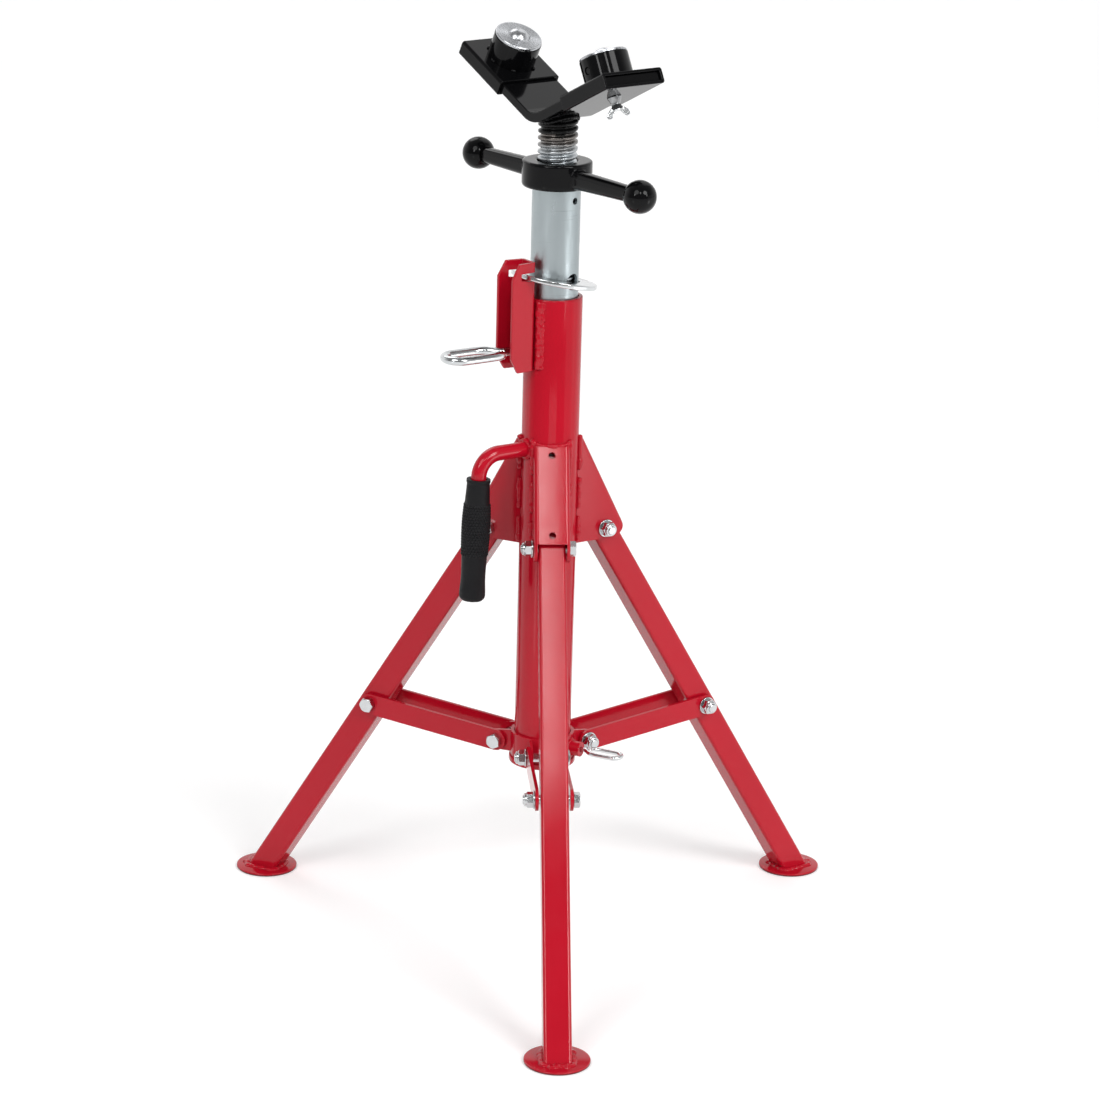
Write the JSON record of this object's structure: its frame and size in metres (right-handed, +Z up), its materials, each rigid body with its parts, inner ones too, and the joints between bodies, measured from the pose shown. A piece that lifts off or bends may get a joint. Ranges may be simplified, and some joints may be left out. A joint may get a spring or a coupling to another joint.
{
  "type": "pipe stand",
  "caption": "Folding tripod pipe stand: telescoping column with a lock ring, hand-turned jack screw, and a V-head whose arms carry sliding ball rollers.",
  "frame": {"origin": "on the floor under the middle of the bounding box", "axes": "+Z up along the column, -Y along the front leg, +X to the right as seen from the front leg"},
  "size_m": [0.6602, 0.5808, 0.9729],
  "materials": {
    "red_paint": "gloss powder coat",
    "black_paint": "gloss black",
    "zinc_tube": "zinc plated",
    "bright_zinc": "bright zinc",
    "machined_steel": "machined",
    "rubber": "matt"
  },
  "bodies": {
    "column": {"outer_tube": "red_paint", "column_stop_ring": "red_paint", "lock_bracket": "red_paint", "carry_handle": "red_paint", "handle_grip": "rubber", "front_leg_bracket": "red_paint", "right_leg_bracket": "red_paint", "left_leg_bracket": "red_paint", "front_leg_pivot_bolt": "bright_zinc", "right_leg_pivot_bolt": "bright_zinc", "left_leg_pivot_bolt": "bright_zinc"},
    "inner_tube_body": {"inner_tube": "zinc_tube"},
    "lock_ring_body": {"lock_ring": "bright_zinc"},
    "lock_pin_body": {"lock_pin": "bright_zinc"},
    "jack_nut_body": {"jack_nut": "black_paint", "right_knob": "black_paint", "left_knob": "black_paint"},
    "jack_head": {"jack_screw": "machined_steel", "v_plate": "black_paint"},
    "right_slider": {"right_sleeve": "black_paint", "right_ball_housing": "black_paint", "right_ball_cap": "machined_steel", "right_screw_boss": "bright_zinc"},
    "right_ball": {"right_roller_ball": "machined_steel"},
    "right_wing": {"right_wing_screw": "bright_zinc"},
    "left_slider": {"left_sleeve": "black_paint", "left_ball_housing": "black_paint", "left_ball_cap": "machined_steel", "left_screw_boss": "bright_zinc"},
    "left_ball": {"left_roller_ball": "machined_steel"},
    "left_wing": {"left_wing_screw": "bright_zinc"},
    "collar_body": {"collar": "red_paint", "collar_pin_boss": "red_paint", "front_collar_bolt": "bright_zinc", "right_collar_bolt": "bright_zinc", "left_collar_bolt": "bright_zinc"},
    "collar_pin_body": {"collar_pin": "bright_zinc"},
    "front_leg_body": {"front_leg": "red_paint", "front_foot": "red_paint", "front_strap_pivot": "bright_zinc"},
    "front_straps": {"front_strap_a": "red_paint", "front_strap_b": "red_paint", "front_strap_bolt_head": "bright_zinc", "front_strap_bolt_nut": "bright_zinc"},
    "right_leg_body": {"right_leg": "red_paint", "right_foot": "red_paint", "right_strap_pivot": "bright_zinc"},
    "right_straps": {"right_strap_a": "red_paint", "right_strap_b": "red_paint", "right_strap_bolt_head": "bright_zinc", "right_strap_bolt_nut": "bright_zinc"},
    "left_leg_body": {"left_leg": "red_paint", "left_foot": "red_paint", "left_strap_pivot": "bright_zinc"},
    "left_straps": {"left_strap_a": "red_paint", "left_strap_b": "red_paint", "left_strap_bolt_head": "bright_zinc", "left_strap_bolt_nut": "bright_zinc"}
  },
  "joints": [
    {"name": "front_leg_fold", "type": "hinge", "parent": "column", "child": "front_leg_body", "pos_m": [0, 0.02438, 0.4484], "axis": [1, 0, 0], "range_deg": [0, 25.25]},
    {"name": "right_leg_fold", "type": "hinge", "parent": "column", "child": "right_leg_body", "pos_m": [0.053, 0.11618, 0.4484], "axis": [-0.5, 0.866, 0], "range_deg": [0, 25.27]},
    {"name": "left_leg_fold", "type": "hinge", "parent": "column", "child": "left_leg_body", "pos_m": [-0.053, 0.11618, 0.4484], "axis": [-0.5, -0.866, 0], "range_deg": [0, 25.27]},
    {"name": "collar_slide", "type": "slide", "parent": "column", "child": "collar_body", "axis": [0, 0, 1], "range_m": [0, 0.1229]},
    {"name": "front_straps_fold", "type": "hinge", "parent": "collar_body", "child": "front_straps", "pos_m": [0, 0.03898, 0.2122], "axis": [1, 0, 0], "range_deg": [0, 77.3]},
    {"name": "right_straps_fold", "type": "hinge", "parent": "collar_body", "child": "right_straps", "pos_m": [0.04036, 0.10888, 0.2122], "axis": [-0.5, 0.866, 0], "range_deg": [0, 77.3]},
    {"name": "left_straps_fold", "type": "hinge", "parent": "collar_body", "child": "left_straps", "pos_m": [-0.04036, 0.10888, 0.2122], "axis": [-0.5, -0.866, 0], "range_deg": [0, 77.3]},
    {"name": "height_slide", "type": "slide", "parent": "column", "child": "inner_tube_body", "axis": [0, 0, 1], "range_m": [-0.065, 0.333]},
    {"name": "nut_turn", "type": "hinge", "parent": "inner_tube_body", "child": "jack_nut_body", "pos_m": [0, 0.08558, 0.8174], "axis": [0, 0, 1], "range_deg": [-4628, 1800]},
    {"name": "screw_lift", "type": "slide", "parent": "inner_tube_body", "child": "jack_head", "axis": [0, 0, 1], "range_m": [-0.0351, 0.0901]},
    {"name": "lock_ring_tilt", "type": "hinge", "parent": "column", "child": "lock_ring_body", "pos_m": [-0.03828, 0.06348, 0.729], "axis": [0.5, -0.866, 0], "range_deg": [0, 11.6]},
    {"name": "lock_pin_pull", "type": "slide", "parent": "column", "child": "lock_pin_body", "axis": [-0.866, -0.5, 0], "range_m": [0, 0.035]},
    {"name": "collar_pin_pull", "type": "slide", "parent": "collar_body", "child": "collar_pin_body", "axis": [0.866, -0.5, 0], "range_m": [0, 0.012]},
    {"name": "right_sleeve_slide", "type": "slide", "parent": "jack_head", "child": "right_slider", "axis": [0.5138, -0.7337, 0.4446], "range_m": [-0.025, 0.012]},
    {"name": "right_ball_spin", "type": "hinge", "parent": "right_slider", "child": "right_ball", "pos_m": [0.04036, 0.02793, 0.95669], "axis": [-0.255, 0.3642, 0.8957], "continuous": true},
    {"name": "right_wing_turn", "type": "hinge", "parent": "right_slider", "child": "right_wing", "pos_m": [0.05451, 0.00773, 0.90702], "axis": [-0.255, 0.3642, 0.8957], "range_deg": [0, 720]},
    {"name": "left_sleeve_slide", "type": "slide", "parent": "jack_head", "child": "left_slider", "axis": [-0.5138, 0.7337, 0.4446], "range_m": [-0.025, 0.012]},
    {"name": "left_ball_spin", "type": "hinge", "parent": "left_slider", "child": "left_ball", "pos_m": [-0.04036, 0.14322, 0.95669], "axis": [0.255, -0.3642, 0.8957], "continuous": true},
    {"name": "left_wing_turn", "type": "hinge", "parent": "left_slider", "child": "left_wing", "pos_m": [-0.05451, 0.16342, 0.90702], "axis": [0.255, -0.3642, 0.8957], "range_deg": [0, 720]}
  ],
  "couplings": [
    {"joint": "right_leg_fold", "follows": "front_leg_fold", "ratio": 1},
    {"joint": "left_leg_fold", "follows": "front_leg_fold", "ratio": 1},
    {"joint": "collar_slide", "follows": "front_leg_fold", "m_per_rad": 0.2786},
    {"joint": "front_straps_fold", "follows": "front_leg_fold", "ratio": 3.0561},
    {"joint": "right_straps_fold", "follows": "front_leg_fold", "ratio": 3.0561},
    {"joint": "left_straps_fold", "follows": "front_leg_fold", "ratio": 3.0561},
    {"joint": "screw_lift", "follows": "nut_turn", "m_per_rad": -0.0011141}
  ]
}
